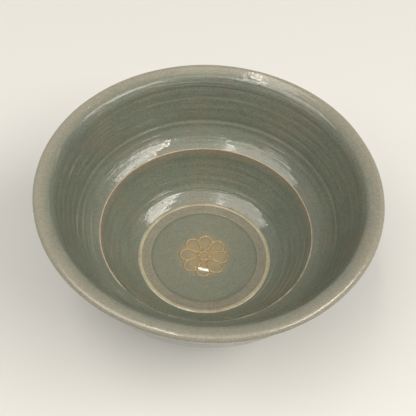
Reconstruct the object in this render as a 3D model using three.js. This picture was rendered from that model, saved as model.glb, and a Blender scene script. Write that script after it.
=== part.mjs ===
// A celadon sake cup with a stepped inside, in millimetres, +Z up, standing on z = 0.
// The origin is the centre of the circle that the foot stands on.
// Two pieces of stoneware clay carry the glaze coats, an inlaid ring and a slip-trailed flower.
// Every round piece is an outline of radius and height, spun about the cup's axis.
import * as THREE from 'three';

// Overall form
const rimRadius = 42;
const cupHeight = 43.9;

// Lip: a rounded edge that leans out over the wall
const lipThickness = 2.3;
const flareWidth = 4;
const flareDrop = 1.4;
const flareThickness = 3.7;
const flareRound = 1.2;

// Ledge: the sharp step between the bowl and the well
const ledgeRadius = 27.4;
const ledgeDepth = 18.7;
const ledgeShelf = 3.6;
const ledgeRise = 2.3;
const ledgeRound = 4.1;
const bareEdgeWidth = 0.5;

// Well: a steep shoulder under the ledge, then a corner that turns in to the floor
const wellDepth = 12.6;
const shoulderReach = 1.8;
const shoulderDrop = 4.2;
const cornerReach = 3.4;
const cornerRise = 2.1;
const wellRound = 2.5;

// Floor
const ringRadius = 17.35;
const ringWidth = 1;
const ringCrown = 0.12;
const discRadius = 14.35;
const discRecess = 0.35;

// Clay and glaze thicknesses
const neckWall = 2;
const ledgeWall = 7.1;
const shoulderWall = 4;
const hipWall = 2.4;
const baseThickness = 4.8;
const outsideRound = 2.6;
const glazeThickness = 0.7;
const lipGlaze = 0.4;

// Foot ring
const footRadius = 19.6;
const footWidth = 4;
const footTaper = 0.7;
const footBevel = 0.6;
const bareFootHeight = 1.2;

// Slip-trailed flower on the floor
const petalCount = 8;
const flowerRadius = 6.8;
const heartRadius = 1.3;
const strokeWidth = 0.55;
const strokeHeight = 0.3;

// Fineness of the curved surfaces
const turns = 48;
const roundSteps = 3;
const petalSteps = 10;

const lipRadius = lipThickness / 2;
const edgeOuter = ledgeRadius + bareEdgeWidth / 2;
const edgeInner = ledgeRadius - bareEdgeWidth / 2;
const floorDepth = ledgeDepth + wellDepth;
const floorTop = cupHeight - floorDepth;
const floorClay = floorTop - glazeThickness;
const discTop = floorTop - discRecess;
const baseClay = floorClay - baseThickness;
const ringOuter = ringRadius + ringWidth / 2;
const ringInner = ringRadius - ringWidth / 2;
const footInner = footRadius - footWidth;
const footClay = footRadius - glazeThickness;
const middle = new THREE.Vector2(0, 0);

const clay = new THREE.MeshStandardMaterial({ color: 0x8a7a66, roughness: 0.85, metalness: 0 });
const celadon = new THREE.MeshStandardMaterial({ color: 0x74796a, roughness: 0.12, metalness: 0 });
const pooledCeladon = new THREE.MeshStandardMaterial({ color: 0x6e776a, roughness: 0.1, metalness: 0 });
const thinCeladon = new THREE.MeshStandardMaterial({ color: 0x827c6a, roughness: 0.2, metalness: 0 });
const creamSlip = new THREE.MeshStandardMaterial({ color: 0xaaa078, roughness: 0.25, metalness: 0 });
const ironSlip = new THREE.MeshStandardMaterial({ color: 0x93794f, roughness: 0.3, metalness: 0 });

// A point of an outline, given by its radius and its depth under the top of the lip.
function at(radius, depth) {
  return new THREE.Vector2(radius, cupHeight - depth);
}

// A line through the corners. All but its ends are rounded off, each over its own length to both sides.
function rounded(corners, lengths) {
  return corners.flatMap((corner, i) => {
    const before = corners[i - 1];
    const after = corners[i + 1];
    if (!before || !after) {
      return [corner];
    }
    const towards = (other) => corner.clone().lerp(other, lengths[i - 1] / corner.distanceTo(other));
    return new THREE.QuadraticBezierCurve(towards(before), corner, towards(after)).getPoints(roundSteps);
  });
}

// The inner points of the clay's face under a glazed line, on the given side of the line's direction.
// The coat is `thinnest` at the line's start and full from a third of the way on.
function clayUnder(line, side, thinnest) {
  const last = line.length - 1;
  return line.slice(1, -1).map((point, i) => {
    const along = line[i + 2].clone().sub(line[i]).normalize();
    const full = Math.min(1, (3 * (i + 1)) / last);
    const coat = side * THREE.MathUtils.lerp(thinnest, glazeThickness, full);
    return new THREE.Vector2(point.x + along.y * coat, point.y - along.x * coat);
  });
}

// An outline spun about the cup's axis; it closes on itself, or ends in two points on the axis.
function spin(outline) {
  const points = THREE.ShapeUtils.isClockWise(outline) ? outline.slice().reverse() : outline;
  const bottom = points.findIndex((point, i) => point.x === 0 && points.at(i - 1).x === 0);
  const closed = [...points, points[0]];
  const profile = bottom < 0 ? closed : [...points.slice(bottom), ...points.slice(0, bottom)];
  return new THREE.LatheGeometry(profile, turns).rotateX(Math.PI / 2);
}

// A disc or a flat ring of rectangular section.
function flatRing(innerRadius, outerRadius, bottom, top) {
  return spin([
    new THREE.Vector2(innerRadius, bottom),
    new THREE.Vector2(outerRadius, bottom),
    new THREE.Vector2(outerRadius, top),
    new THREE.Vector2(innerRadius, top),
  ]);
}

const cup = new THREE.Group();

function piece(name, geometry, material) {
  const mesh = new THREE.Mesh(geometry, material);
  mesh.name = name;
  cup.add(mesh);
}

// Corners that the inside and the outside share
const flareEdge = at(rimRadius - flareWidth, flareDrop);
const shoulder = at(edgeInner - shoulderReach, ledgeDepth + shoulderDrop);
const corner = at(ringOuter + cornerReach, floorDepth - cornerRise);

// Glazed line of the bowl: over the lip's crest, down the wall and in along the shelf to the ledge.
const lipTip = at(rimRadius, lipRadius);
const lipArc = new THREE.EllipseCurve(
  rimRadius - lipRadius, cupHeight - lipRadius, lipRadius, lipRadius, 0, Math.PI / 2,
).getPoints(roundSteps);
const bowlLine = [
  ...lipArc,
  ...rounded([
    lipArc.at(-1),
    flareEdge,
    at(edgeOuter + ledgeShelf, ledgeDepth - ledgeRise),
    at(edgeOuter, ledgeDepth),
  ], [flareRound, ledgeRound]).slice(1),
];

// Glazed line of the well: from the ledge down to the outer side of the inlaid ring.
const wellLine = rounded([
  at(edgeInner, ledgeDepth),
  shoulder,
  corner,
  at(ringOuter, floorDepth),
], [wellRound, wellRound]);

// Glazed line of the outside: from the lip down to the bare edge of the foot.
const footJoint = new THREE.Vector2(footRadius, baseClay);
const bareEdge = new THREE.Vector2(
  footRadius - footTaper * (1 - bareFootHeight / baseClay),
  bareFootHeight,
);
const outsideLine = rounded([
  lipTip,
  new THREE.Vector2(flareEdge.x + neckWall, flareEdge.y - flareThickness),
  at(ledgeRadius + ledgeWall, ledgeDepth),
  new THREE.Vector2(shoulder.x + shoulderWall, shoulder.y),
  new THREE.Vector2(corner.x + hipWall, corner.y - baseThickness),
  footJoint,
], [outsideRound, outsideRound, outsideRound, outsideRound]);

const clayTip = at(rimRadius - lipGlaze, lipRadius);
const bowlClay = [clayTip, ...clayUnder(bowlLine, -1, lipGlaze), at(edgeOuter, ledgeDepth + glazeThickness)];
const wellClay = [...clayUnder(wellLine, -1, glazeThickness), new THREE.Vector2(ringOuter, floorClay)];
const footRoot = new THREE.Vector2(footClay, baseClay);
const outsideClay = [clayTip, ...clayUnder(outsideLine, 1, lipGlaze), footRoot];
const bareClay = new THREE.Vector2(bareEdge.x - glazeThickness, bareFootHeight);

// The thrown clay: wall, well and base in one.
piece('cup_body', spin([
  ...bowlClay,
  at(edgeOuter, ledgeDepth),
  at(edgeInner, ledgeDepth),
  ...wellClay,
  new THREE.Vector2(0, floorClay),
  new THREE.Vector2(0, baseClay),
  ...outsideClay.slice(1).reverse(),
]), clay);

// The foot ring, luted to the base; it tapers down to a bevelled bare edge.
const footTip = footRadius - footTaper;
piece('foot_ring', spin([
  footRoot,
  bareClay,
  bareEdge,
  new THREE.Vector2(footTip, footBevel),
  new THREE.Vector2(footTip - footBevel, 0),
  new THREE.Vector2(footInner + footBevel, 0),
  new THREE.Vector2(footInner, footBevel),
  new THREE.Vector2(footInner, baseClay),
]), clay);

// Glaze coats of the bowl, the well, the outside and the base inside the foot
piece('bowl_glaze', spin([...bowlLine, ...bowlClay.slice().reverse()]), celadon);
piece('well_glaze', spin([...wellLine, ...wellClay.slice().reverse()]), celadon);
piece('outer_glaze', spin([...outsideLine, bareEdge, bareClay, ...outsideClay.slice().reverse()]), celadon);
piece('base_glaze', flatRing(0, footInner, baseClay - glazeThickness, baseClay), celadon);

// Floor of the well: the inlaid ring, the thinly glazed band inside it and the sunken disc
piece('inlay_ring', spin([
  new THREE.Vector2(ringInner, floorClay),
  new THREE.Vector2(ringOuter, floorClay),
  new THREE.Vector2(ringOuter, floorTop),
  new THREE.Vector2(ringRadius, floorTop + ringCrown),
  new THREE.Vector2(ringInner, floorTop),
]), creamSlip);
piece('floor_band', flatRing(discRadius, ringInner, floorClay, floorTop), thinCeladon);
piece('floor_glaze', flatRing(0, discRadius, floorClay, discTop), pooledCeladon);

// The flower: slip lines that leave a drop-shaped opening in each petal and a round one in the heart.
const petalTurn = (Math.PI * 2) / petalCount;
const petalCentre = (flowerRadius - strokeWidth / 2) / (1 + Math.sin(petalTurn / 2));
const halfGap = petalCentre * Math.sin(petalTurn / 2);
const dropRadius = halfGap - strokeWidth / 2;
const lobeRadius = halfGap + strokeWidth / 2;
const dropTip = heartRadius + strokeWidth / 2;

// The round end of a petal, an arc that reaches equally far to both sides of the petal's direction.
function petalArc(turn, radius, reach) {
  const centre = new THREE.Vector2(petalCentre, 0).rotateAround(middle, turn);
  const arc = new THREE.EllipseCurve(centre.x, centre.y, radius, radius, turn - reach, turn + reach);
  return arc.getPoints(petalSteps);
}

function flowerShape() {
  const notchRadius = petalCentre * Math.cos(petalTurn / 2) + Math.sqrt(lobeRadius ** 2 - halfGap ** 2);
  const notch = new THREE.Vector2(notchRadius, 0).rotateAround(middle, petalTurn / 2);
  const lobeReach = Math.atan2(notch.y, notch.x - petalCentre);
  const dropReach = Math.PI / 2 + Math.asin(dropRadius / (petalCentre - dropTip));
  const petals = Array.from({ length: petalCount }, (_, i) => i * petalTurn);
  const shape = new THREE.Shape(
    petals.flatMap((turn) => petalArc(turn, lobeRadius, lobeReach).slice(0, -1)),
  );
  shape.holes = petals.map((turn) => {
    const tip = new THREE.Vector2(dropTip, 0).rotateAround(middle, turn);
    return new THREE.Path([tip, ...petalArc(turn, dropRadius, dropReach)]);
  });
  shape.holes.push(new THREE.Path().absarc(0, 0, heartRadius - strokeWidth / 2, 0, Math.PI * 2));
  return shape;
}

const flower = new THREE.ExtrudeGeometry(flowerShape(), {
  depth: strokeHeight,
  bevelEnabled: false,
  curveSegments: petalSteps,
});
piece('flower', flower.translate(0, 0, discTop), ironSlip);

export default cup;
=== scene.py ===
# A celadon sake cup with a stepped inside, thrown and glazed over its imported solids.
# Run it as a script: it makes every piece, the table and the lights, and needs no saved file.
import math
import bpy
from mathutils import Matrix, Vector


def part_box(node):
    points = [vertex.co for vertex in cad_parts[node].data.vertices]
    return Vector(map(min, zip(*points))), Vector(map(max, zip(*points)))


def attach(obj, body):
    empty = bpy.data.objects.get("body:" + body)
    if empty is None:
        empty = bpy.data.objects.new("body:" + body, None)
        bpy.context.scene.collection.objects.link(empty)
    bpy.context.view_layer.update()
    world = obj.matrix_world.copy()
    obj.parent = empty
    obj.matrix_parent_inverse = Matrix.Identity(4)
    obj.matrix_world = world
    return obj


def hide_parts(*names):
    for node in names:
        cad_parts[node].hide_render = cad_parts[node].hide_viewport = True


bl_info = {
    "name": "Celadon sake cup",
    "version": (1, 0, 0),
    "blender": (4, 5, 0),
    "location": "View3D > Sidebar > Sake cup",
    "description": "Throws and glazes a footed celadon sake cup over its packed solids",
    "category": "Object",
}

from types import SimpleNamespace

import bpy
from bpy.props import FloatProperty, FloatVectorProperty, IntProperty, PointerProperty
from mathutils import Matrix, Vector

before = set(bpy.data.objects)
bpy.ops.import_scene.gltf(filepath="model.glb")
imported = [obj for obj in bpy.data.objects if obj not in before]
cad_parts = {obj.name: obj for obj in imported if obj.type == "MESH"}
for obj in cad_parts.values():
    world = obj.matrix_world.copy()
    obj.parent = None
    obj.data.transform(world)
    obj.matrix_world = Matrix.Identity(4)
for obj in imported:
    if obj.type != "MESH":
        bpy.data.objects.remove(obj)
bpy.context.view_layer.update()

MM = 0.001
TURN = 2 * math.pi


def top_of(name):
    """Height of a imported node's highest point."""
    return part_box(name)[1].z


def reach_of(name):
    """Radius of a packed round node."""
    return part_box(name)[1].x


def linear(red, green, blue):
    """A colour given as it looks on a screen, 0 to 255, as the linear colour that a shader takes."""
    return tuple(
        value / 255 / 12.92 if value < 11 else ((value / 255 + 0.055) / 1.055) ** 2.4
        for value in (red, green, blue)
    )


def length(name, description, default):
    """A length that a user may change, in metres."""
    return FloatProperty(
        name=name, description=description, default=default, min=0, unit="LENGTH", precision=5
    )


def number(name, description, default):
    """A plain number that a user may change."""
    return FloatProperty(name=name, description=description, default=default, min=0)


def colour(name, description, default):
    """A colour that a user may change."""
    return FloatVectorProperty(
        name=name, description=description, default=default, min=0, max=1, size=3, subtype="COLOR"
    )


def position(name, description, default):
    """A place that a user may change, in metres."""
    return FloatVectorProperty(name=name, description=description, default=default, unit="LENGTH")


class CupForm(bpy.types.PropertyGroup):
    """Sizes of the thrown cup, with heights over the table"""

    rim_radius: length("Rim radius", "Radius of the lip's outermost circle", reach_of("outer_glaze"))
    height: length("Height", "Height of the lip's crest", top_of("bowl_glaze"))
    lip_thickness: length("Lip thickness", "Thickness of the rounded lip", 2.3 * MM)
    lip_bare: length("Thin lip", "Width of the lip on which the glaze runs thin", 4.4 * MM)
    flare_width: length("Flare width", "How far the lip leans out over the wall", 4 * MM)
    flare_drop: length("Flare drop", "Depth at which the wall begins", 1.4 * MM)
    flare_thickness: length("Flare thickness", "Drop from the wall's inner corner to its outer one", 3.7 * MM)
    flare_round: length("Flare round", "Length over which the crease under the lip is rounded", 0.5 * MM)
    neck_reach: length("Neck reach", "How far the wall draws in just under the lip", 1 * MM)
    neck_drop: length("Neck drop", "Depth of that neck under the crease", 1.5 * MM)
    ledge_height: length("Ledge height", "Height of the sharp ledge", top_of("well_glaze"))
    edge_inner: length("Ledge inside", "Radius of the well at the ledge", reach_of("well_glaze"))
    edge_width: length("Ledge edge", "Width of the bare clay edge of the ledge", 0.32 * MM)
    edge_crown: length("Ledge crown", "Rise of that edge over the ledge", 0.08 * MM)
    ledge_shelf: length("Shelf width", "Width of the sloping shelf outside the ledge", 3.6 * MM)
    ledge_rise: length("Shelf rise", "Rise of the sloping shelf", 2.3 * MM)
    ledge_round: length("Shelf round", "Length over which the shelf turns into the wall", 4.1 * MM)
    shoulder_reach: length("Shoulder reach", "How far the well's wall draws in under the ledge", 1.8 * MM)
    shoulder_drop: length("Shoulder drop", "Depth of the well's shoulder under the ledge", 4.2 * MM)
    corner_reach: length("Corner reach", "Width of the well's corner outside the inlaid ring", 3.4 * MM)
    corner_rise: length("Corner rise", "Rise of the well's corner over the floor", 2.1 * MM)
    well_round: length("Well round", "Length over which the well's corners are rounded", 2.5 * MM)
    floor_height: length("Floor height", "Height of the well's floor", top_of("floor_band"))
    ring_outer: length("Ring outside", "Outer radius of the inlaid ring", reach_of("inlay_ring"))
    ring_inner: length("Ring inside", "Inner radius of the inlaid ring", reach_of("floor_band"))
    ring_crown: length("Ring crown", "Rise of the inlaid ring over the floor", 0.24 * MM)
    band_wear: length("Band wear", "How far the band inside the ring has sunk", 0.14 * MM)
    band_slope: length("Band slope", "Width of the slopes along the band's two edges", 0.7 * MM)
    disc_radius: length("Disc radius", "Radius of the sunken disc of pooled glaze", reach_of("floor_glaze"))
    disc_height: length("Disc height", "Height of the sunken disc", top_of("floor_glaze"))
    neck_wall: length("Neck wall", "How far the wall's outer corner lies outside its inner one", 2 * MM)
    ledge_wall: length("Ledge wall", "Thickness of the wall beside the ledge", 7.1 * MM)
    shoulder_wall: length("Shoulder wall", "Thickness of the wall beside the well", 4 * MM)
    hip_wall: length("Hip wall", "Thickness of the wall beside the well's corner", 2.4 * MM)
    hip_rise: length("Hip rise", "Rise of the outside's lowest corner over the base", 2.8 * MM)
    outside_round: length("Outside round", "Length over which the outside's corners are rounded", 2.6 * MM)
    base_height: length("Base height", "Height of the base's underside", top_of("base_glaze"))
    glaze: length("Glaze", "Thickness of the glaze coats", 0.7 * MM)
    lip_glaze: length("Lip glaze", "Thickness of the glaze on the lip", 0.4 * MM)
    foot_radius: length("Foot radius", "Outer radius of the foot ring at the base", 19.6 * MM)
    foot_inner: length("Foot inside", "Inner radius of the foot ring", reach_of("base_glaze"))
    foot_taper: length("Foot taper", "How far the foot ring draws in towards the table", 0.7 * MM)
    foot_round: length("Foot round", "Rounding of the foot ring's edges", 0.6 * MM)
    bare_foot: length("Bare foot", "Height up to which the foot is wiped bare", 1.2 * MM)


class CupHand(bpy.types.PropertyGroup):
    """Marks of the hand on the wheel"""

    facets: IntProperty(name="Steps", description="Steps in which a round piece is spun", default=240, min=24)
    grain: length("Outline step", "Distance between the points of a spun outline", 0.4 * MM)
    ridge_height: length("Ridge height", "Height of the finger ridges on the glazed faces", 0.018 * MM)
    ridge_spacing: length("Ridge spacing", "Distance from one finger ridge to the next", 2.3 * MM)
    groove_drop: length("Groove drop", "Distance of the groove from the crest, down the wall", 15.8 * MM)
    groove_depth: length("Groove depth", "How deep that groove is", 0.13 * MM)
    groove_width: length("Groove width", "How wide that groove is", 0.4 * MM)
    wobble: length("Wobble", "How far the clay strays from a true circle", 0.22 * MM)
    wobble_size: length("Wobble size", "Size of the waves of that wobble", 19 * MM)
    firm_foot: length("Firm foot", "Height above which the clay strays in full", 5 * MM)
    firm_floor: length("Firm floor", "Radius outside which the clay strays in full", 22 * MM)
    sag: length("Sag", "How far the rim has sagged at its lowest corner", 1.15 * MM)


class CupFlower(bpy.types.PropertyGroup):
    """Sizes of the slip flower"""

    petals: IntProperty(name="Petals", description="Number of petals", default=8, min=5)
    reach: length("Reach", "Radius of the flower over its petals", 6.8 * MM)
    heart: length("Heart", "Radius of the ring in its middle", 1.3 * MM)
    stroke: length("Stroke", "Width of the trailed line of slip", 0.65 * MM)


class CupGlaze(bpy.types.PropertyGroup):
    """Colours of the clay, glazes and slips"""

    celadon: colour("Celadon", "Grey-green glaze on the walls", linear(103, 109, 97))
    celadon_thin: colour("Thin celadon", "The same glaze where it runs thin", linear(141, 137, 122))
    pooled: colour("Pooled celadon", "Thick glaze in the sunken disc", linear(106, 109, 95))
    # Painted shade: a darker line along the step at the sunken disc's edge.
    pool_edge_shade: colour("Pool edge", "The same glaze along the edge of the disc", linear(92, 94, 83))
    mottle: colour("Mottle", "Brownish clouds in the glaze on the walls", linear(114, 109, 95))
    rust: colour("Rust", "Glaze that took iron from the clay beside the ledge", linear(130, 118, 98))
    band: colour("Band", "Thin grey-brown glaze between the ring and the disc", linear(120, 117, 101))
    cream: colour("Cream slip", "Inlaid ring", linear(163, 155, 131))
    iron: colour("Iron slip", "Flower on the floor", linear(146, 127, 92))
    clay: colour("Clay", "Bare fired clay", linear(150, 128, 104))
    # Partly real worn clay, partly a painted highlight along the ledge's sharp edge.
    edge: colour("Ledge edge", "Worn edge of the ledge, where the clay shows pale", linear(179, 168, 151))


class CupStage(bpy.types.PropertyGroup):
    """Table, lights and camera"""

    table: colour("Table", "Plain pale table", (0.66, 0.66, 0.645))
    table_bounce: colour("Table bounce", "The table as it lights the cup", (0.4, 0.4, 0.385))
    surround: colour("Surround", "Pale backdrop that the camera and the glaze see", (0.74, 0.71, 0.65))
    lamp: colour("Lamp", "Colour of the lamps", (1, 0.95, 0.87))
    lamp_height: length("Lamp height", "Height of the lamps over the table", 1)
    gloom: number("Gloom", "Light of the room around the lamps", 0.2)
    ceiling: number("Ceiling", "Brightness of the soft ceiling panel", 1.3)
    side: number("Side boxes", "Strength of the two soft boxes at the sides, 1 as set", 1)
    strip: number("Strips", "Strength of the four narrow lamps, 1 as set", 1)
    glint: number("Glint", "Brightness of the small lamp behind the cup", 20)
    lens: number("Lens", "Focal length on a 36 mm sensor, in millimetres", 68.514)
    roll: FloatProperty(
        name="Roll", description="Tilt of the camera", default=math.radians(4.4956), subtype="ANGLE"
    )
    eye: position("Eye", "Place of the camera", (-0.14 * MM, -118.99 * MM, 190.93 * MM))
    target: position("Target", "Point that the camera looks at", (-0.02 * MM, -7.07 * MM, 43 * MM))


# Outlines, in radius and height

def at(radius, height):
    """A point of an outline."""
    return Vector((radius, height))


def rounded(corners, lengths, steps=16):
    """A line through the corners, with all but its ends rounded off over the given lengths."""
    line = [corners[0]]
    for before, corner, after, reach in zip(corners, corners[1:], corners[2:], lengths):
        start = corner.lerp(before, reach / (before - corner).length)
        end = corner.lerp(after, reach / (after - corner).length)
        for i in range(steps + 1):
            t = i / steps
            line.append(start * (1 - t) ** 2 + corner * 2 * t * (1 - t) + end * t * t)
    return line + [corners[-1]]


def distances(line):
    """Distance of each point of a line from its start, along the line."""
    total = [0]
    for before, after in zip(line, line[1:]):
        total.append(total[-1] + (after - before).length)
    return total


def evened(line, step):
    """The same line with evenly spaced points."""
    total = distances(line)
    count = max(1, round(total[-1] / step))
    points = []
    i = 0
    for k in range(count):
        wanted = total[-1] * k / count
        while total[i + 1] < wanted:
            i += 1
        span = total[i + 1] - total[i]
        points.append(line[i].lerp(line[i + 1], (wanted - total[i]) / span))
    return points + [line[-1]]


def left_of(line, i):
    """Direction to the left of a line at one of its inner points."""
    along = (line[i + 1] - line[i - 1]).normalized()
    return Vector((-along.y, along.x))


def shifted(line, offset):
    """The line with each point but its ends moved to its left by offset(distance, length of the line)."""
    total = distances(line)
    moved = [line[i] + left_of(line, i) * offset(total[i], total[-1]) for i in range(1, len(line) - 1)]
    return line[:1] + moved + line[-1:]


def finger_ridges(hand, phase):
    """Offset of a glazed face: ridges and weaker, closer ones, which fade out at both ends of the line."""
    def offset(distance, whole):
        fade = min(1, distance / hand.ridge_spacing, (whole - distance) / hand.ridge_spacing)
        turn = TURN * distance / hand.ridge_spacing
        closer = 0.6 * math.sin(1.73 * turn + 2.1 * phase)
        return fade * hand.ridge_height * (math.sin(turn + phase) + closer)
    return offset


def lip_arc(form, steps=14):
    """The lip's rounded edge, from its tip up to its crest."""
    radius = form.lip_thickness / 2
    centre = at(form.rim_radius - radius, form.height - radius)
    turns = [math.pi / 2 * i / steps for i in range(steps + 1)]
    return [centre + Vector((math.cos(turn), math.sin(turn))) * radius for turn in turns]


def flare_edge(form):
    """Corner between the leaning lip and the wall."""
    return at(form.rim_radius - form.flare_width, form.height - form.flare_drop)


def edge_outer(form):
    """Radius of the shelf at the ledge."""
    return form.edge_inner + form.edge_width


def shoulder(form):
    """Corner of the well under the ledge."""
    return at(form.edge_inner - form.shoulder_reach, form.ledge_height - form.shoulder_drop)


def well_corner(form):
    """Corner of the well outside the inlaid ring."""
    return at(form.ring_outer + form.corner_reach, form.floor_height + form.corner_rise)


def foot_wipe(form):
    """Point of the foot's outside under which it is wiped bare."""
    drawn_in = form.foot_taper * (1 - form.bare_foot / form.base_height)
    return at(form.foot_radius - drawn_in, form.bare_foot)


def bowl_line(form, hand):
    """Glazed line of the bowl: over the lip's crest, down the wall and along the shelf to the ledge."""
    arc = lip_arc(form)
    outer = edge_outer(form)
    crease = flare_edge(form)
    corners = [
        arc[-1],
        crease,
        crease - Vector((form.neck_reach, form.neck_drop)),
        at(outer + form.ledge_shelf, form.ledge_height + form.ledge_rise),
        at(outer, form.ledge_height),
    ]
    wall = rounded(corners, [form.flare_round, form.flare_round, form.ledge_round])
    ridges = finger_ridges(hand, 0.4)

    def offset(distance, whole):
        past = (distance - hand.groove_drop) / hand.groove_width
        groove = math.exp(-past ** 2)
        rise = math.exp(-(past - 1.5) ** 2)
        return -(ridges(distance, whole) + hand.groove_depth * (0.6 * rise - groove))

    return arc[:-1] + shifted(evened(wall, hand.grain), offset)


def well_line(form, hand):
    """Glazed line of the well: from the ledge down to the inlaid ring."""
    ledge = at(form.edge_inner, form.ledge_height)
    floor = at(form.ring_outer, form.floor_height)
    line = rounded([ledge, shoulder(form), well_corner(form), floor], [form.well_round, form.well_round])
    ridges = finger_ridges(hand, 1.9)
    return shifted(evened(line, hand.grain), lambda distance, whole: -1.3 * ridges(distance, whole))


def outside_line(form, hand):
    """Glazed line of the outside: from the lip's tip down to the bare edge of the foot."""
    inside = flare_edge(form)
    well = shoulder(form)
    corners = [
        at(form.rim_radius, form.height - form.lip_thickness / 2),
        at(inside.x + form.neck_wall, inside.y - form.flare_thickness),
        at(form.edge_inner + form.edge_width / 2 + form.ledge_wall, form.ledge_height),
        at(well.x + form.shoulder_wall, well.y),
        at(well_corner(form).x + form.hip_wall, form.base_height + form.hip_rise),
        at(form.foot_radius, form.base_height),
        foot_wipe(form),
    ]
    line = rounded(corners, [form.outside_round] * 4 + [form.glaze])
    return shifted(evened(line, hand.grain), finger_ridges(hand, 0.9))


def clay_under(line, form, thinnest, side):
    """Face of the clay under every third point of a glazed line, on its left (1) or right (-1).

    The coat grows from its thinnest to its full thickness over the line's first third.
    """
    total = distances(line)
    face = []
    for i in range(1, len(line) - 1, 3):
        full = min(1, 3 * total[i] / total[-1])
        coat = side * (thinnest + (form.glaze - thinnest) * full)
        face.append(line[i] + left_of(line, i) * coat)
    return face


def clay_tip(form):
    """Clay under the lip's tip, where the inner and the outer glaze meet."""
    return at(form.rim_radius - form.lip_glaze, form.height - form.lip_thickness / 2)


def bowl_clay(form, line):
    """Face of the clay under the bowl's glaze."""
    foot = at(edge_outer(form), form.ledge_height - form.glaze)
    return [clay_tip(form)] + clay_under(line, form, form.lip_glaze, 1) + [foot]


def well_clay(form, line):
    """Face of the clay under the well's glaze."""
    foot = at(form.ring_outer, form.floor_height - form.glaze)
    return clay_under(line, form, form.glaze, 1)[1:] + [foot]


def outside_clay(form, line):
    """Face of the clay under the outer glaze."""
    foot = at(form.foot_radius - form.glaze, form.base_height)
    wall = [point for point in line if point.y > form.base_height + form.glaze]
    return [clay_tip(form)] + clay_under(wall, form, form.lip_glaze, -1) + [foot]


# Work on the wheel

def select_only(piece):
    """Makes one object the selected and active one."""
    bpy.ops.object.select_all(action="DESELECT")
    piece.select_set(True)
    bpy.context.view_layer.objects.active = piece


def edit_all():
    """Opens the active piece in edit mode, with all of it selected."""
    bpy.ops.object.mode_set(mode="EDIT")
    bpy.ops.mesh.select_all(action="SELECT")


def merge_doubles():
    """Merges the points of the open piece that lie on each other."""
    bpy.ops.mesh.select_all(action="SELECT")
    bpy.ops.mesh.remove_doubles(threshold=0.001 * MM)


def apply_modifier(piece, name, kind, **settings):
    """Gives the active piece a modifier with its settings, and applies it."""
    modifier = piece.modifiers.new(name, kind)
    for setting, value in settings.items():
        setattr(modifier, setting, value)
    bpy.ops.object.modifier_apply(modifier=modifier.name)


def start_point(name, place):
    """A new object, in edit mode, with a single selected vertex."""
    bpy.ops.object.select_all(action="DESELECT")
    bpy.ops.mesh.primitive_plane_add(size=MM)
    piece = bpy.context.object
    piece.name = name
    piece.data.name = name
    edit_all()
    bpy.ops.mesh.merge(type="CENTER")
    bpy.ops.transform.translate(value=place)
    return piece


def draw_line(places):
    """Extrudes the selected vertex from place to place, and merges a closed line's two ends."""
    for before, after in zip(places, places[1:]):
        step = Vector(after) - Vector(before)
        bpy.ops.mesh.extrude_region_move(TRANSFORM_OT_translate={"value": step})
    merge_doubles()


def throw(name, outline, closed=True):
    """A round piece: its outline is drawn upright, closed on itself unless it ends on the axis, and spun."""
    places = [(point.x, 0, point.y) for point in outline]
    piece = start_point(name, places[0])
    draw_line(places + places[:1] if closed else places)
    facets = bpy.context.scene.cup_hand.facets
    bpy.ops.mesh.spin(steps=facets, angle=TURN, center=(0, 0, 0), axis=(0, 0, 1), use_auto_merge=True)
    merge_doubles()
    bpy.ops.mesh.normals_make_consistent(inside=False)
    bpy.ops.object.mode_set(mode="OBJECT")
    if not piece.data.polygons:
        raise RuntimeError("The outline of " + name + " was not spun")
    return piece


def sway(piece):
    """Moves the piece's points a little, as soft clay strays from a true circle. All pieces sway alike."""
    hand = bpy.context.scene.cup_hand
    waves = bpy.data.textures.get("clay_sway") or bpy.data.textures.new("clay_sway", "CLOUDS")
    waves.cloud_type = "COLOR"
    waves.noise_scale = hand.wobble_size
    waves.noise_depth = 1
    soft = piece.vertex_groups.new(name="soft")
    for vertex in piece.data.vertices:
        high = min(1, max(0, vertex.co.z) / hand.firm_foot)
        wide = min(1, vertex.co.xy.length / hand.firm_floor)
        soft.add([vertex.index], high * wide ** 2, "REPLACE")
    select_only(piece)
    apply_modifier(
        piece, "sway", "DISPLACE", vertex_group=soft.name, texture=waves, texture_coords="LOCAL",
        direction="RGB_TO_XYZ", strength=hand.wobble, mid_level=0.5,
    )
    bpy.ops.object.vertex_group_remove(all=True)


def sag(piece):
    """Lets the rim sag a little at the back left, as it did in the kiln. All pieces sag alike."""
    form = bpy.context.scene.cup_form
    cage = bpy.data.objects.get("sag_cage")
    if cage is None:
        bpy.ops.object.select_all(action="DESELECT")
        bpy.ops.object.add(type="LATTICE", location=(0, 0, form.height / 2))
        cage = bpy.context.object
        cage.name = "sag_cage"
        cage.scale = (2 * form.rim_radius, 2 * form.rim_radius, form.height)
        for axis in "uvw":
            setattr(cage.data, "points_" + axis, 2)
            setattr(cage.data, "interpolation_type_" + axis, "KEY_LINEAR")
        low_corner = next(point for point in cage.data.points if point.co.x < 0 < min(point.co.yz))
        drop = bpy.context.scene.cup_hand.sag / form.height
        low_corner.co_deform = low_corner.co_deform - Vector((0, 0, drop))
        bpy.context.view_layer.update()
    select_only(piece)
    apply_modifier(piece, "sag", "LATTICE", object=cage)


def finish_piece(piece, nodes, coat, crease=35):
    """Sways, sags, smooths and paints a piece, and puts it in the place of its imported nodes."""
    sway(piece)
    sag(piece)
    bpy.ops.object.shade_smooth_by_angle(angle=math.radians(crease))
    piece.data.materials.clear()
    piece.data.materials.append(finish(coat))
    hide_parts(*nodes)
    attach(piece, "root")


# Shading

def feed(tree, socket, value):
    """Links a socket to a socket, or sets it to a number or a colour."""
    if isinstance(value, bpy.types.NodeSocket):
        tree.links.new(value, socket)
    elif socket.type == "RGBA":
        socket.default_value = (*value, 1)
    else:
        socket.default_value = value


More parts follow.
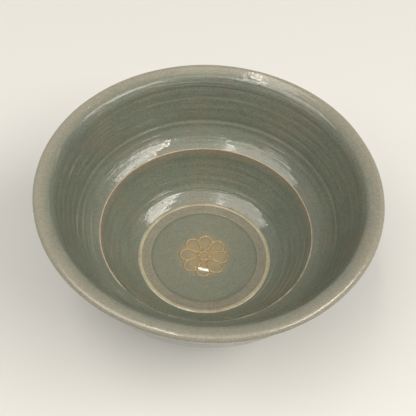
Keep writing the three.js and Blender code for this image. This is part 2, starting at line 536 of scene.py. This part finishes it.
def node(tree, kind, inputs=None, **settings):
    """A new shader node with its settings, and with its inputs fed by name or number."""
    made = tree.nodes.new("ShaderNode" + kind)
    for setting, value in settings.items():
        setattr(made, setting, value)
    for socket, value in (inputs or {}).items():
        feed(tree, made.inputs[socket], value)
    return made


def maths(tree, operation, *values):
    """A Math node's output, from sockets or numbers."""
    return node(tree, "Math", dict(enumerate(values)), operation=operation).outputs[0]


def times(tree, first, *others):
    """Product of sockets and numbers."""
    for other in others:
        first = maths(tree, "MULTIPLY", first, other)
    return first


def plus(tree, first, *others):
    """Sum of sockets and numbers."""
    for other in others:
        first = maths(tree, "ADD", first, other)
    return first


def minus(tree, first, second):
    """Difference of two sockets or numbers."""
    return maths(tree, "SUBTRACT", first, second)


def mixed(tree, mask, first, second, blend="MIX"):
    """A colour mix by a mask."""
    mix = node(tree, "Mix", {"Factor": mask}, data_type="RGBA", blend_type=blend)
    sockets = {socket.identifier: socket for socket in mix.inputs}
    feed(tree, sockets["A_Color"], first)
    feed(tree, sockets["B_Color"], second)
    return next(socket for socket in mix.outputs if socket.identifier == "Result_Color")


def painted(tree, paint, *layers):
    """A colour with layers over it, each of a mask, a strength and its own colour."""
    for mask, strength, layer in layers:
        paint = mixed(tree, times(tree, mask, strength), paint, layer)
    return paint


def ramp(tree, value, low, high):
    """0 below low, 1 above high and a soft change between them."""
    bounds = {"Value": value, "From Min": low, "From Max": high}
    return node(tree, "MapRange", bounds, interpolation_type="SMOOTHSTEP").outputs["Result"]


def noise(tree, place, scale, detail=2, roughness=0.5):
    """Value of a noise around 0.5."""
    inputs = {"Vector": place, "Scale": scale, "Detail": detail, "Roughness": roughness}
    return node(tree, "TexNoise", inputs).outputs["Fac"]


def astray(tree, place, size, detail, roughness, reach):
    """A wavering to either side of 0, with waves of the given size."""
    return times(tree, minus(tree, noise(tree, place, 1 / size, detail, roughness), 0.5), reach)


def shade(tone, factor):
    """A lighter or darker shade of a colour."""
    return tuple(value * factor for value in tone)


def wheel_place(tree):
    """A point's place in metres, its radius from the axis, its height, and the sides of its turning angle."""
    place = node(tree, "TexCoord").outputs["Object"]
    x, y, z = node(tree, "SeparateXYZ", {0: place}).outputs
    radius = maths(tree, "SQRT", plus(tree, times(tree, x, x), times(tree, y, y)))
    safe = maths(tree, "MAXIMUM", radius, MM)
    side = maths(tree, "DIVIDE", x, safe)
    front = maths(tree, "DIVIDE", y, safe)
    return SimpleNamespace(place=place, radius=radius, height=z, side=side, front=front)


def effect(name, inputs, outputs, build):
    """A shader node group, built once. `build` gets its tree and input sockets and gives its outputs."""
    group = bpy.data.node_groups.get(name)
    if group:
        return group
    group = bpy.data.node_groups.new(name, "ShaderNodeTree")
    for socket, default in inputs.items():
        made = group.interface.new_socket(name=socket, in_out="INPUT", socket_type="NodeSocketFloat")
        made.default_value = default
    for socket in outputs:
        group.interface.new_socket(name=socket, in_out="OUTPUT", socket_type="NodeSocketFloat")
    inlet = group.nodes.new("NodeGroupInput")
    outlet = group.nodes.new("NodeGroupOutput")
    for socket, value in build(group, inlet.outputs).items():
        group.links.new(value, outlet.inputs[socket])
    return group


def place_effect(tree, group, values=None):
    """Puts an effect into a material with its own values; gives its outputs."""
    return node(tree, "Group", values, node_tree=group).outputs


def throwing_rings():
    """Fine rings left by the turning wheel, which waver around the cup."""
    def build(tree, given):
        wheel = wheel_place(tree)
        along = plus(tree, wheel.height, times(tree, wheel.radius, 0.8))
        spot = {
            0: times(tree, wheel.side, given["Drift"]),
            1: times(tree, wheel.front, given["Drift"]),
            2: maths(tree, "DIVIDE", along, given["Spacing"]),
        }
        return {"Height": noise(tree, node(tree, "CombineXYZ", spot).outputs[0], 1, 3, 0.55)}
    return effect("Throwing rings", {"Spacing": 1.6 * MM, "Drift": 1.4}, ["Height"], build)


def rings_at(tree, spacing, drift):
    """Height of throwing rings of a given spacing and drift."""
    return place_effect(tree, throwing_rings(), {"Spacing": spacing, "Drift": drift})["Height"]


def glaze_pull():
    """Where the glaze has drawn back from the lip, the neck, the ledge and the foot, with a wavering edge."""
    def build(tree, given):
        wheel = wheel_place(tree)
        stray = astray(tree, wheel.place, 7 * MM, 3, 0.6, given["Stray"])
        from_lip = plus(tree, minus(tree, wheel.radius, given["Lip Radius"]), stray)
        under_lip = minus(tree, given["Lip Height"], wheel.height)
        lip = ramp(tree, from_lip, 0, given["Softness"])
        lip = times(tree, lip, ramp(tree, under_lip, 6 * MM, 2 * MM))
        neck = ramp(tree, under_lip, 1.3 * MM, 1.9 * MM)
        neck = times(tree, neck, ramp(tree, under_lip, 5 * MM, 3 * MM))
        neck = times(tree, neck, ramp(tree, from_lip, 1.4 * MM, 0.6 * MM))
        aside = maths(tree, "ABSOLUTE", minus(tree, wheel.radius, given["Ledge Radius"]))
        above = maths(tree, "ABSOLUTE", minus(tree, wheel.height, given["Ledge Height"]))
        near_ledge = minus(tree, given["Ledge Reach"], plus(tree, aside, stray))
        ledge = ramp(tree, near_ledge, 0, given["Ledge Reach"])
        ledge = times(tree, ledge, ramp(tree, above, 3 * MM, 1.5 * MM))
        over_foot = plus(tree, minus(tree, given["Foot Height"], wheel.height), stray)
        foot = ramp(tree, over_foot, 0, given["Softness"])
        return {"Lip": lip, "Ledge": ledge, "Foot": foot, "Neck": neck}
    form = bpy.context.scene.cup_form
    inputs = {
        "Lip Radius": form.rim_radius - form.lip_bare,
        "Lip Height": form.height,
        "Ledge Radius": form.edge_inner,
        "Ledge Height": form.ledge_height,
        "Ledge Reach": 0.9 * MM,
        "Foot Height": 1.8 * MM,
        "Softness": 3 * MM,
        "Stray": 1 * MM,
    }
    return effect("Glaze pull", inputs, ["Lip", "Ledge", "Foot", "Neck"], build)


def cloudiness():
    """Slow changes of depth in the glaze, with a fine milky grain."""
    def build(tree, given):
        place = wheel_place(tree).place
        wide = noise(tree, place, maths(tree, "DIVIDE", 1, given["Size"]), 4, 0.55)
        fine = noise(tree, place, maths(tree, "DIVIDE", 16, given["Size"]), 2, 0.6)
        both = plus(tree, times(tree, wide, 0.75), times(tree, fine, 0.25))
        return {"Value": ramp(tree, both, 0.3, 0.7)}
    return effect("Cloudiness", {"Size": 14 * MM}, ["Value"], build)


def pinholes():
    """A few small pits and specks of iron in the glaze."""
    def build(tree, given):
        scale = maths(tree, "DIVIDE", 1, given["Spacing"])
        cells = node(tree, "TexVoronoi", {"Vector": wheel_place(tree).place, "Scale": scale}).outputs
        near = times(tree, cells["Distance"], given["Spacing"])
        draws = node(tree, "SeparateXYZ", {0: cells["Color"]}).outputs
        size = times(tree, draws[1], given["Size"])
        spot = ramp(tree, near, size, times(tree, size, 0.5))
        return {"Mask": times(tree, spot, maths(tree, "LESS_THAN", draws[0], given["Share"]))}
    return effect("Pinholes", {"Spacing": 2.6 * MM, "Size": 0.3 * MM, "Share": 0.3}, ["Mask"], build)


def crackle():
    """Fine cracks in the glaze, strongest in patches."""
    def build(tree, given):
        place = wheel_place(tree).place
        waves = {"Vector": place, "Scale": maths(tree, "DIVIDE", 0.7, given["Spacing"])}
        bend = {0: node(tree, "TexNoise", waves).outputs["Color"], "Scale": given["Spacing"]}
        bend = node(tree, "VectorMath", bend, operation="SCALE").outputs[0]
        bent = node(tree, "VectorMath", {0: place, 1: bend}, operation="ADD").outputs[0]
        cells = {"Vector": bent, "Scale": maths(tree, "DIVIDE", 1, given["Spacing"])}
        edge = node(tree, "TexVoronoi", cells, feature="DISTANCE_TO_EDGE").outputs["Distance"]
        line = ramp(tree, times(tree, edge, given["Spacing"]), given["Width"], 0)
        patch = ramp(tree, noise(tree, place, 1 / (16 * MM)), 0.42, 0.62)
        return {"Mask": times(tree, line, patch)}
    return effect("Crackle", {"Spacing": 2.8 * MM, "Width": 0.1 * MM}, ["Mask"], build)


def ridge_glint_lines():
    """Painted highlights: thin pale lines along the throwing rings at the cup's two sides, where the ridges
    catch the light.
    """
    def build(tree, given):
        wheel = wheel_place(tree)
        # Only at the two sides, where the lamps light the ridges.
        sides = ramp(tree, maths(tree, "ABSOLUTE", wheel.side), 0.55, 0.85)
        stray = astray(tree, wheel.place, 30 * MM, 1, 0.4, given["Stray"])
        wave = maths(tree, "PINGPONG", plus(tree, wheel.height, stray), given["Spacing"])
        line = ramp(tree, wave, given["Width"], 0)
        broken = ramp(tree, noise(tree, wheel.place, 1 / (24 * MM)), 0.42, 0.62)
        return {"Mask": times(tree, line, broken, sides)}
    return effect("Ridge glint lines", {"Spacing": 1.1 * MM, "Width": 0.24 * MM, "Stray": 3 * MM}, ["Mask"], build)


def slip_halo():
    """Iron that has bled out of the slip flower into the glaze around it."""
    def build(tree, given):
        wheel = wheel_place(tree)
        reach = plus(tree, wheel.radius, astray(tree, wheel.place, 3 * MM, 4, 0.65, given["Stray"]))
        return {"Mask": ramp(tree, reach, given["Reach"], times(tree, given["Reach"], 0.45))}
    return effect("Slip halo", {"Reach": 8.2 * MM, "Stray": 7 * MM}, ["Mask"], build)


def backdrop_rays(tree):
    """1 for the rays that see the backdrop as pale: the camera's, and those mirrored or let through."""
    rays = node(tree, "LightPath").outputs
    onward = maths(tree, "MAXIMUM", rays["Is Glossy Ray"], rays["Is Transmission Ray"])
    return maths(tree, "MAXIMUM", rays["Is Camera Ray"], onward)


def new_material(name):
    """An empty node material, its tree and its Principled shader."""
    material = bpy.data.materials.new(name)
    material.use_nodes = True
    tree = material.node_tree
    tree.nodes.clear()
    shader = node(tree, "BsdfPrincipled")
    node(tree, "OutputMaterial", {"Surface": shader.outputs[0]})
    return material, tree, shader


def raise_relief(tree, shader, *parts):
    """Raises a surface by heights in millimetres, each times its weight."""
    height = plus(tree, *[times(tree, part, weight) for part, weight in parts])
    bump = node(tree, "Bump", {"Distance": MM, "Height": height})
    feed(tree, shader.inputs["Normal"], bump.outputs["Normal"])


def glaze_material(
    name, body, thin=None, roughness=0.045, depth=0.07, lines=0.2, ripple=1, ridge_glint=0, clouds=None, stain=None,
    edge=None,
):
    """A glossy celadon glaze: cloudy, crackled, pitted, and pale and dry where it runs thin."""
    colours = bpy.context.scene.cup_glaze
    thin = thin or body
    material, tree, shader = new_material(name)
    shader.inputs["IOR"].default_value = 1.58
    place = wheel_place(tree).place
    cloud = place_effect(tree, cloudiness())["Value"]
    deep = (body[0] * (1 - 1.6 * depth), body[1] * (1 - depth), body[2] * (1 - 0.8 * depth))
    light = (body[0] * (1 + 1.6 * depth), body[1] * (1 + depth), body[2] * (1 + 0.2 * depth))
    streaks = ramp(tree, rings_at(tree, 0.9 * MM, 5), 0.35, 0.65)
    patches = ramp(tree, noise(tree, place, 1 / (11 * MM), 3, 0.6), 0.45, 0.7)
    ledge = {"Ledge Radius": edge[0], "Ledge Height": edge[1]} if edge else {}
    pulled = place_effect(tree, glaze_pull(), ledge)
    lip = times(tree, pulled["Lip"], 0.85)
    bare = maths(tree, "MAXIMUM", lip, pulled["Foot"])
    paint = painted(
        tree, mixed(tree, cloud, deep, light),
        (streaks, 0.5, shade(body, 1.14)),
        (patches, 0 if edge else 0.55, clouds or colours.mottle),
        (bare, 1, thin),
        # On the pooled disc this paints shade along the disc's step; elsewhere it is iron rust beside the
        # ledge.
        (pulled["Ledge"], 0.8, colours.pool_edge_shade if edge else colours.rust),
    )
    grain = ramp(tree, noise(tree, place, 1 / (0.45 * MM), 2, 0.65), 0.35, 0.65)
    grain = mixed(tree, grain, (0.88, 0.88, 0.87), (1.1, 1.09, 1.08))
    paint = mixed(tree, 1, paint, grain, "MULTIPLY")
    pits = place_effect(tree, pinholes())["Mask"]
    cracks = place_effect(tree, crackle())["Mask"]
    layers = [(pits, 0.5, shade(body, 0.25)), (cracks, lines, shade(body, 0.45))]
    if stain:
        layers.insert(0, (place_effect(tree, slip_halo())["Mask"], 0.7, stain))
    # Painted highlights along the ridges at the cup's sides, in the thin glaze's colour.
    if ridge_glint:
        layers.insert(0, (place_effect(tree, ridge_glint_lines())["Mask"], ridge_glint, thin))
    feed(tree, shader.inputs["Base Color"], painted(tree, paint, *layers))
    rough = times(tree, roughness, plus(tree, 1, times(tree, cloud, 0.6)))
    feed(tree, shader.inputs["Roughness"], plus(tree, rough, times(tree, bare, 0.05)))
    streaky = ramp(tree, noise(tree, place, 1 / (9 * MM)), 0.4, 0.62)
    combed = plus(tree, pulled["Neck"], times(tree, streaky, minus(tree, 1, lip)))
    raise_relief(
        tree, shader,
        (place_effect(tree, throwing_rings())["Height"], 0.03 * ripple),
        (times(tree, rings_at(tree, 0.42 * MM, 1.6), combed), 0.07 * ripple),
        (times(tree, rings_at(tree, 0.6 * MM, 2.6), plus(tree, 0.35, streaky)), 0.045 * ripple),
        (cloud, 0.03 * ripple),
        (pits, -0.1),
        (cracks, -0.008),
    )
    return material


def clay_material(name, body, patch=5 * MM, front_shade=None):
    """Bare fired clay: dry, grainy and scorched in patches. A colour given for the front is painted over it
    there, as painted shade.
    """
    material, tree, shader = new_material(name)
    cloud = place_effect(tree, cloudiness(), {"Size": patch})["Value"]
    grit = place_effect(tree, pinholes(), {"Spacing": 0.9 * MM, "Size": 0.22 * MM, "Share": 0.4})["Mask"]
    layers = [(grit, 0.7, shade(body, 0.25))]
    if front_shade:
        # Painted shade: towards the front the pale edge is painted in the given colour, so it shows pale only
        # at the back and the sides.
        wheel = wheel_place(tree)
        reach = plus(tree, wheel.front, astray(tree, wheel.place, 4 * MM, 3, 0.6, 1.6))
        layers.append((ramp(tree, reach, -0.35, -0.95), 1, front_shade))
    paint = painted(tree, mixed(tree, cloud, shade(body, 0.7), body), *layers)
    feed(tree, shader.inputs["Base Color"], paint)
    feed(tree, shader.inputs["Roughness"], plus(tree, 0.7, times(tree, cloud, 0.2)))
    raise_relief(tree, shader, (rings_at(tree, 0.5 * MM, 2), 0.04), (cloud, 0.05), (grit, -0.06))
    return material


def finish(name):
    """The material of a finish, made when it is first asked for."""
    if name in bpy.data.materials:
        return bpy.data.materials[name]
    form = bpy.context.scene.cup_form
    glaze = bpy.context.scene.cup_glaze
    clays = {
        "fired clay": {"body": glaze.clay},
        # The ledge's edge: worn pale clay that also stands in for a highlight, with painted shade in the
        # wall's colour towards the front.
        "worn edge and highlight": {"body": glaze.edge, "patch": 1.6 * MM, "front_shade": glaze.celadon},
    }
    if name in clays:
        return clay_material(name, **clays[name])
    pool = {"roughness": 0.015, "depth": 0.04, "lines": 0.1, "ripple": 0.02, "stain": glaze.iron}
    coats = {
        # The wall glaze gets painted ridge highlights.
        "wall celadon": {"body": glaze.celadon, "thin": glaze.celadon_thin, "ridge_glint": 0.8},
        # The pooled disc gets a painted shade along its edge.
        "pooled celadon": {"body": glaze.pooled, "edge": (form.disc_radius, form.disc_height), **pool},
        "band glaze": {"body": glaze.band, "depth": 0.05, "ripple": 0.4},
        "cream slip": {"body": glaze.cream, "roughness": 0.14, "depth": 0.08, "lines": 0.4},
        "iron slip": {"body": glaze.iron, "roughness": 0.14, "depth": 0.15, "clouds": glaze.pooled},
    }
    return glaze_material(name, **coats[name])


# Operators

class CUP_OT_clay(bpy.types.Operator):
    """Throw the wall, well and base, and lute the foot ring to them"""

    bl_idname = "sake_cup.clay"
    bl_label = "Throw the clay"

    def execute(self, context):
        form = context.scene.cup_form
        hand = context.scene.cup_hand
        axis_foot = at(0, form.base_height)
        outline = bowl_clay(form, bowl_line(form, hand))
        outline += [
            at(edge_outer(form), form.ledge_height),
            at(form.edge_inner + form.edge_width / 2, form.ledge_height + form.edge_crown),
            at(form.edge_inner, form.ledge_height),
        ]
        outline += well_clay(form, well_line(form, hand))
        outline += [at(0, form.floor_height - form.glaze), axis_foot]
        outline += outside_clay(form, outside_line(form, hand))[:0:-1]
        start = outline.index(axis_foot)
        piece = throw("thrown_body", outline[start:] + outline[:start], closed=False)
        finish_piece(piece, ["cup_body"], "worn edge and highlight")

        bare = foot_wipe(form)
        corners = [
            at(form.foot_radius - form.glaze, form.base_height),
            at(bare.x - form.glaze, form.bare_foot),
            bare,
            at(form.foot_radius - form.foot_taper, 0),
            at(form.foot_inner, 0),
            at(form.foot_inner, form.base_height),
        ]
        little = 0.1 * MM
        line = rounded(corners, [little, little, form.foot_round, form.foot_round], 6)
        finish_piece(throw("foot", evened(line, hand.grain)), ["foot_ring"], "fired clay")
        return {"FINISHED"}


class CUP_OT_inside(bpy.types.Operator):
    """Glaze the bowl and the well"""

    bl_idname = "sake_cup.inside"
    bl_label = "Glaze the inside"

    def execute(self, context):
        form = context.scene.cup_form
        hand = context.scene.cup_hand
        for name, face, clay in (("bowl", bowl_line, bowl_clay), ("well", well_line, well_clay)):
            line = face(form, hand)
            piece = throw(name + "_coat", line + clay(form, line)[::-1])
            finish_piece(piece, [name + "_glaze"], "wall celadon")
        return {"FINISHED"}


class CUP_OT_outside(bpy.types.Operator):
    """Glaze the outside and the base inside the foot ring"""

    bl_idname = "sake_cup.outside"
    bl_label = "Glaze the outside"

    def execute(self, context):
        form = context.scene.cup_form
        hand = context.scene.cup_hand
        line = outside_line(form, hand)
        bare = at(line[-1].x - form.glaze, form.bare_foot)
        piece = throw("outer_coat", line + [bare] + outside_clay(form, line)[::-1])
        finish_piece(piece, ["outer_glaze"], "wall celadon")

        under = form.base_height - form.glaze
        gathered = 1.2 * MM
        meniscus = at(form.foot_inner, under - 0.5 * form.glaze)
        line = [at(0, under), at(form.foot_inner - gathered, under), meniscus]
        face = shifted(evened(line, hand.grain), finger_ridges(hand, 2.4))
        outline = face + [at(form.foot_inner, form.base_height), at(0, form.base_height)]
        piece = throw("base_coat", outline, closed=False)
        finish_piece(piece, ["base_glaze"], "wall celadon")
        return {"FINISHED"}


class CUP_OT_floor(bpy.types.Operator):
    """Lay the inlaid ring, the band inside it and the sunken disc"""

    bl_idname = "sake_cup.floor"
    bl_label = "Lay the floor"

    def execute(self, context):
        form = context.scene.cup_form
        hand = context.scene.cup_hand
        low = form.floor_height - form.glaze
        crown = [
            at(form.ring_outer, form.floor_height),
            at((form.ring_inner + form.ring_outer) / 2, form.floor_height + form.ring_crown),
            at(form.ring_inner, form.floor_height),
        ]
        top = rounded(crown, [0.4 * MM])
        outline = [at(form.ring_inner, low), at(form.ring_outer, low)] + evened(top, 0.1 * MM)
        finish_piece(throw("slip_ring", outline), ["inlay_ring"], "cream slip")

        sunken = form.floor_height - form.band_wear
        slope = form.band_slope
        corners = [
            at(form.ring_inner, form.floor_height),
            at(form.ring_inner - slope, sunken),
            at(form.disc_radius + slope, sunken),
            at(form.disc_radius, form.disc_height),
        ]
        top = rounded(corners, [slope / 2, slope / 2], 6)
        outline = [at(form.disc_radius, low), at(form.ring_inner, low)] + evened(top, 0.12 * MM)
        finish_piece(throw("floor_ring", outline), ["floor_band"], "band glaze")

        face = evened([at(form.disc_radius, form.disc_height), at(0, form.disc_height)], hand.grain)
        piece = throw("floor_pool", [at(0, low), at(form.disc_radius, low)] + face, closed=False)
        finish_piece(piece, ["floor_glaze"], "pooled celadon")
        return {"FINISHED"}


class CUP_OT_flower(bpy.types.Operator):
    """Trail the slip flower on the floor"""

    bl_idname = "sake_cup.flower"
    bl_label = "Trail the flower"

    def execute(self, context):
        form = context.scene.cup_form
        flower = context.scene.cup_flower
        half = math.pi / flower.petals
        centre = (flower.reach - flower.stroke / 2) / (1 + math.sin(half))
        lobe = centre * math.sin(half)
        opening = math.pi / 2 + math.asin(lobe / (centre - flower.heart))
        arc = [-opening + 2 * opening * i / 20 for i in range(21)]
        lobe_line = [(centre + lobe * math.cos(turn), lobe * math.sin(turn), 0) for turn in arc]
        start = (flower.heart, 0, 0)
        drop = [start, *lobe_line, start]
        petal = self.trail("petal", drop, form.disc_height, flower.stroke)
        pieces = [petal]
        for i in range(1, flower.petals):
            select_only(petal)
            bpy.ops.object.duplicate()
            copy = bpy.context.object
            edit_all()
            turn = TURN * i / flower.petals
            bpy.ops.transform.rotate(value=turn, orient_axis="Z", center_override=(0, 0, 0))
            bpy.ops.object.mode_set(mode="OBJECT")
            pieces.append(copy)
        turns = [TURN * i / 24 for i in range(25)]
        ring = [(flower.heart * math.cos(turn), flower.heart * math.sin(turn), 0) for turn in turns]
        pieces.append(self.trail("heart", ring, form.disc_height, flower.stroke))
        select_only(petal)
        for piece in pieces:
            piece.select_set(True)
        bpy.ops.object.join()
        petal.name = "slip_flower"
        petal.data.name = "slip_flower"
        apply_modifier(petal, "melt", "REMESH", mode="VOXEL", voxel_size=0.09 * MM)
        apply_modifier(petal, "soften", "SMOOTH", iterations=4)
        finish_piece(petal, ["flower"], "iron slip", 60)
        return {"FINISHED"}

    def trail(self, name, places, height, stroke):
        """A trailed line of slip: a flattened tube along the places."""
        line = start_point(name, places[0])
        draw_line(places)
        bpy.ops.object.mode_set(mode="OBJECT")
        select_only(line)
        bpy.ops.object.convert(target="CURVE")
        tube = bpy.context.object
        tube.data.bevel_depth = stroke / 2
        tube.data.bevel_resolution = 3
        bpy.ops.object.convert(target="MESH")
        edit_all()
        bpy.ops.transform.resize(value=(1, 1, 0.9), center_override=(0, 0, 0))
        bpy.ops.transform.translate(value=(0, 0, height))
        bpy.ops.object.mode_set(mode="OBJECT")
        return bpy.context.object


class CUP_OT_stage(bpy.types.Operator):
    """Set the table, the lamps and the camera"""

    bl_idname = "sake_cup.stage"
    bl_label = "Set the stage"

    def execute(self, context):
        scene = context.scene
        stage = scene.cup_stage
        scene.view_settings.view_transform = "Standard"
        self.lay_table(stage)
        self.open_room(scene, stage)
        self.lamp("ceiling", (0.25, -0.4), 0, (0.8, 0.9), stage.ceiling)
        self.lamp("right box", (0.925, -0.28), 0, (0.55, 1.14), 6.6 * stage.side)
        self.lamp("left box", (-0.65, -0.375), 0, (1.0, 0.95), 3.1 * stage.side)
        self.lamp("right strip", (0.665, -0.28), 0.01, (0.05, 1.14), 14 * stage.strip)
        self.lamp("left strip", (-0.175, -0.375), 0.01, (0.05, 0.95), 11 * stage.strip)
        self.lamp("outer right strip", (1.18, -0.28), 0.01, (0.04, 1.14), 12 * stage.strip)
        self.lamp("outer left strip", (-1.13, -0.375), 0.01, (0.04, 0.95), 10 * stage.strip)
        self.lamp("glint", (-0.003, 0.623), 0.02, (0.024, 0.0035), stage.glint, -12)

        data = bpy.data.cameras.new("camera")
        data.sensor_fit = "HORIZONTAL"
        data.sensor_width = 36
        data.lens = stage.lens
        camera = bpy.data.objects.new("camera", data)
        scene.collection.objects.link(camera)
        eye = Vector(stage.eye)
        gaze = (Vector(stage.target) - eye).to_track_quat("-Z", "Y").to_matrix()
        turned = gaze @ Matrix.Rotation(stage.roll, 3, "Z")
        camera.matrix_world = Matrix.LocRotScale(eye, turned, None)
        scene.camera = camera
        return {"FINISHED"}

    def lamp(self, name, place, drop, size, brightness, turn=0):
        """A rectangular lamp that faces down, of one brightness all over, hung at a drop under the others."""
        stage = bpy.context.scene.cup_stage
        data = bpy.data.lights.new(name, "AREA")
        data.shape = "RECTANGLE"
        data.size, data.size_y = size
        data.energy = brightness * math.pi * size[0] * size[1]
        data.color = stage.lamp
        lamp = bpy.data.objects.new(name, data)
        lamp.location = (*place, stage.lamp_height - drop)
        lamp.rotation_euler.z = math.radians(turn)
        bpy.context.scene.collection.objects.link(lamp)

    def lay_table(self, stage):
        """A wide table, plain around the cup and one with the backdrop far from it."""
        bpy.ops.object.select_all(action="DESELECT")
        bpy.ops.mesh.primitive_plane_add(size=12)
        table = bpy.context.object
        table.name = "table"
        edit_all()
        bpy.ops.mesh.subdivide(number_cuts=3)
        bpy.ops.object.mode_set(mode="OBJECT")
        material, tree, shader = new_material("pale table")
        seen = backdrop_rays(tree)
        far = ramp(tree, wheel_place(tree).radius, 0.2, 0.8)
        black = (0, 0, 0)
        near_table = mixed(tree, far, stage.table, black)
        shader.inputs["Roughness"].default_value = 0.5
        feed(tree, shader.inputs["Base Color"], mixed(tree, seen, stage.table_bounce, near_table))
        feed(tree, shader.inputs["Emission Color"], mixed(tree, far, black, stage.surround))
        feed(tree, shader.inputs["Emission Strength"], seen)
        table.data.materials.append(material)

    def open_room(self, scene, stage):
        """A dim room whose backdrop the camera and the glaze see as pale."""
        world = bpy.data.worlds.new("room")
        world.use_nodes = True
        tree = world.node_tree
        tree.nodes.clear()
        gloom = (stage.gloom, stage.gloom, stage.gloom)
        room = node(tree, "Background", {"Color": mixed(tree, backdrop_rays(tree), gloom, stage.surround)})
        node(tree, "OutputWorld", {"Surface": room.outputs[0]})
        scene.world = world


class CUP_PT_panel(bpy.types.Panel):
    """Steps of making the cup"""

    bl_idname = "CUP_PT_panel"
    bl_label = "Sake cup"
    bl_space_type = "VIEW_3D"
    bl_region_type = "UI"
    bl_category = "Sake cup"

    def draw(self, context):
        for step in STEPS:
            self.layout.operator(step.bl_idname)


STEPS = (CUP_OT_clay, CUP_OT_inside, CUP_OT_outside, CUP_OT_floor, CUP_OT_flower, CUP_OT_stage)
GROUPS = {
    "cup_form": CupForm,
    "cup_hand": CupHand,
    "cup_flower": CupFlower,
    "cup_glaze": CupGlaze,
    "cup_stage": CupStage,
}


def register():
    """Registers the cup's settings, steps and panel."""
    for name, group in GROUPS.items():
        bpy.utils.register_class(group)
        setattr(bpy.types.Scene, name, PointerProperty(type=group))
    for step in STEPS + (CUP_PT_panel,):
        bpy.utils.register_class(step)


def unregister():
    """Takes them out again, in reverse order."""
    for step in (CUP_PT_panel,) + STEPS[::-1]:
        bpy.utils.unregister_class(step)
    for name, group in reversed(GROUPS.items()):
        delattr(bpy.types.Scene, name)
        bpy.utils.unregister_class(group)


def main():
    """Makes the cup step by step."""
    register()
    bpy.ops.sake_cup.clay()
    bpy.ops.sake_cup.inside()
    bpy.ops.sake_cup.outside()
    bpy.ops.sake_cup.floor()
    bpy.ops.sake_cup.flower()
    bpy.ops.sake_cup.stage()


if __name__ == "__main__":
    main()
